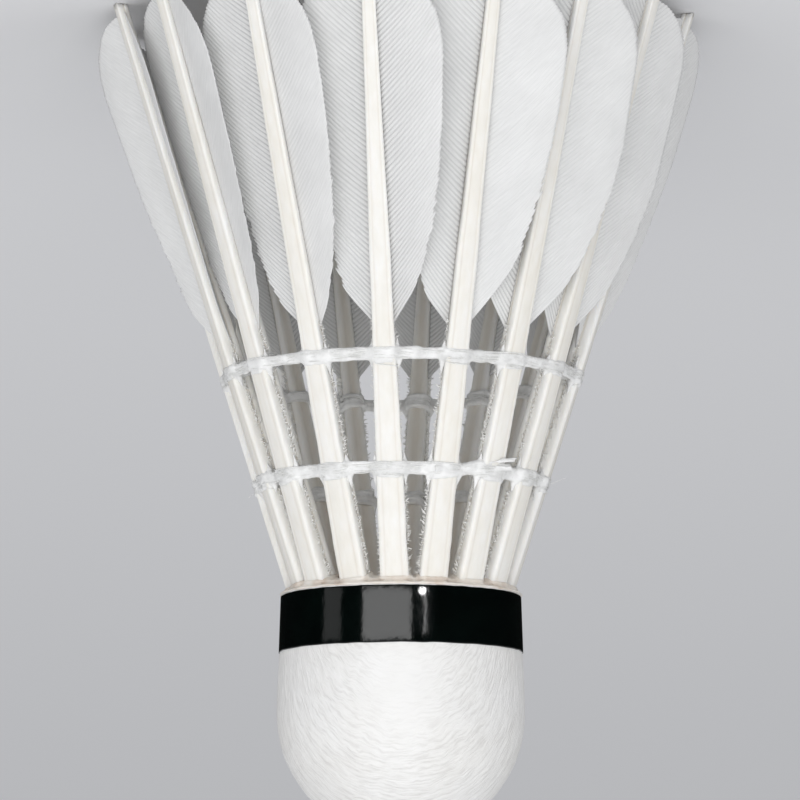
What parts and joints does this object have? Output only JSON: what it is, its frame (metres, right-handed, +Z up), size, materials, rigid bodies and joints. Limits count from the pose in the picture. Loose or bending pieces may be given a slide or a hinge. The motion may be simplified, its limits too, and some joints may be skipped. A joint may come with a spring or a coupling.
{
  "type": "badminton shuttlecock",
  "caption": "Feather shuttlecock standing on its feather tips: cone of overlapping feathers bound with thread, set in a leather-covered round cork base.",
  "frame": {"origin": "centre of the circle of feather tips, in the plane that the tips stand on", "axes": "+Z up the axis, from the feather tips to the nose of the cork; +Y away from the viewer, -Y towards feather 13"},
  "size_m": [0.0644, 0.0629, 0.0866],
  "materials": {
    "feather_shaft": "cream-white quill, satin",
    "feather_vane": "white goose feather barbs, soft satin",
    "thread": "white binding thread soaked in clear glue",
    "glue": "cured resin, pinkish cream",
    "cork": "natural cork",
    "leather": "fine-grained white leather, matt",
    "band_tape": "glossy tape, green-black"
  },
  "bodies": {
    "root": {"feather_01_shaft": "feather_shaft", "feather_01_outer_vane": "feather_vane", "feather_01_inner_vane": "feather_vane", "feather_02_shaft": "feather_shaft", "feather_02_outer_vane": "feather_vane", "feather_02_inner_vane": "feather_vane", "feather_03_shaft": "feather_shaft", "feather_03_outer_vane": "feather_vane", "feather_03_inner_vane": "feather_vane", "feather_04_shaft": "feather_shaft", "feather_04_outer_vane": "feather_vane", "feather_04_inner_vane": "feather_vane", "feather_05_shaft": "feather_shaft", "feather_05_outer_vane": "feather_vane", "feather_05_inner_vane": "feather_vane", "feather_06_shaft": "feather_shaft", "feather_06_outer_vane": "feather_vane", "feather_06_inner_vane": "feather_vane", "feather_07_shaft": "feather_shaft", "feather_07_outer_vane": "feather_vane", "feather_07_inner_vane": "feather_vane", "feather_08_shaft": "feather_shaft", "feather_08_outer_vane": "feather_vane", "feather_08_inner_vane": "feather_vane", "feather_09_shaft": "feather_shaft", "feather_09_outer_vane": "feather_vane", "feather_09_inner_vane": "feather_vane", "feather_10_shaft": "feather_shaft", "feather_10_outer_vane": "feather_vane", "feather_10_inner_vane": "feather_vane", "feather_11_shaft": "feather_shaft", "feather_11_outer_vane": "feather_vane", "feather_11_inner_vane": "feather_vane", "feather_12_shaft": "feather_shaft", "feather_12_outer_vane": "feather_vane", "feather_12_inner_vane": "feather_vane", "feather_13_shaft": "feather_shaft", "feather_13_outer_vane": "feather_vane", "feather_13_inner_vane": "feather_vane", "feather_14_shaft": "feather_shaft", "feather_14_outer_vane": "feather_vane", "feather_14_inner_vane": "feather_vane", "feather_15_shaft": "feather_shaft", "feather_15_outer_vane": "feather_vane", "feather_15_inner_vane": "feather_vane", "feather_16_shaft": "feather_shaft", "feather_16_outer_vane": "feather_vane", "feather_16_inner_vane": "feather_vane", "thread_binding_near_cork": "thread", "thread_binding_near_vanes": "thread", "glue_collar": "glue", "cork_socket_disc": "cork", "cork_nose": "cork", "leather_cover": "leather", "colour_band": "band_tape"}
  },
  "joints": []
}
